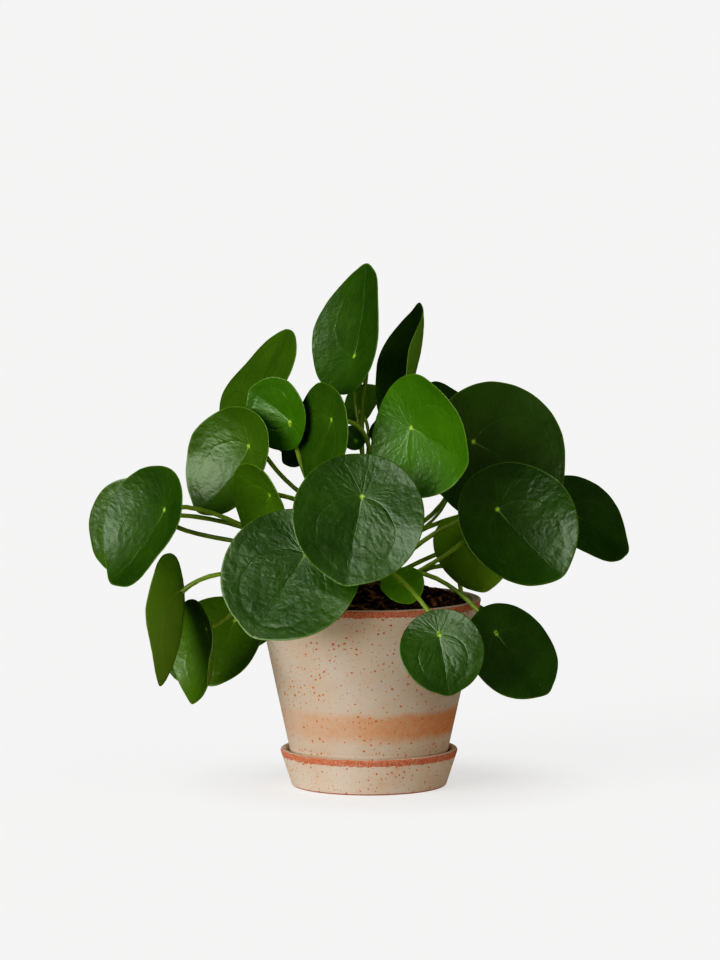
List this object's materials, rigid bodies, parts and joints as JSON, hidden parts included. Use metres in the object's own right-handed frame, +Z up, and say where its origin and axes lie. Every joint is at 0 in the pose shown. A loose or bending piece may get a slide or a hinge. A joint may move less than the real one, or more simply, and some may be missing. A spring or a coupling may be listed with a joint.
{
  "type": "potted pilea plant",
  "caption": "Bushy pilea with round shield-shaped leaves on long stalks, growing in a round tapered whitewashed clay pot that stands in a matching saucer.",
  "frame": {"origin": "centre of the saucer's flat underside, on the surface that the plant stands on", "axes": "+Z up along the pot's axis, +Y away from the front, +X to the right as seen from the front"},
  "size_m": [0.3386, 0.2311, 0.3252],
  "materials": {
    "terracotta": "fired clay with a thin whitewash, dry and matt, orange where the wash has worn off",
    "potting_soil": "dark crumbly potting soil with bits of bark, fully matt",
    "stalk": "smooth fleshy olive-green stalks, slight sheen",
    "leaf": "fleshy, glossy, finely puckered deep green leaf with a pale midrib",
    "young_leaf": "fleshy, glossy, finely puckered bright green young leaf"
  },
  "bodies": {
    "root": {"saucer": "terracotta", "pot": "terracotta", "soil": "potting_soil", "stem_and_leaf_stalks": "stalk", "leaf_crown_tall": "leaf", "leaf_crown_left": "leaf", "leaf_young_left": "young_leaf", "leaf_crown_narrow": "leaf", "leaf_crown_folded": "leaf", "leaf_bud_back": "young_leaf", "leaf_bud_right": "leaf", "leaf_bud_front": "young_leaf", "leaf_right_bright": "young_leaf", "leaf_right_large": "leaf", "leaf_right_cupped": "leaf", "leaf_right_far": "leaf", "leaf_right_hidden": "leaf", "leaf_right_inner": "leaf", "leaf_right_under": "leaf", "leaf_left_glossy": "leaf", "leaf_left_small": "leaf", "leaf_left_inner": "leaf", "leaf_left_outer": "leaf", "leaf_left_far": "leaf", "leaf_front_high": "leaf", "leaf_front_large": "leaf", "leaf_front_young": "young_leaf", "leaf_low_front": "leaf", "leaf_low_right": "leaf", "leaf_low_left_edge": "leaf", "leaf_low_left_cupped": "leaf", "leaf_low_left_wide": "leaf", "leaf_low_left_back": "leaf", "leaf_back_middle": "leaf", "leaf_back_high": "leaf", "leaf_back_left": "leaf", "leaf_back_low_left": "leaf", "leaf_back_right": "leaf", "leaf_back_hanging_right": "leaf", "leaf_back_hanging_left": "leaf", "leaf_back_crown": "leaf", "leaf_back_far_left": "leaf", "leaf_back_high_right": "leaf", "leaf_back_far_right": "leaf", "leaf_back_hanging_middle": "leaf"}
  },
  "joints": []
}
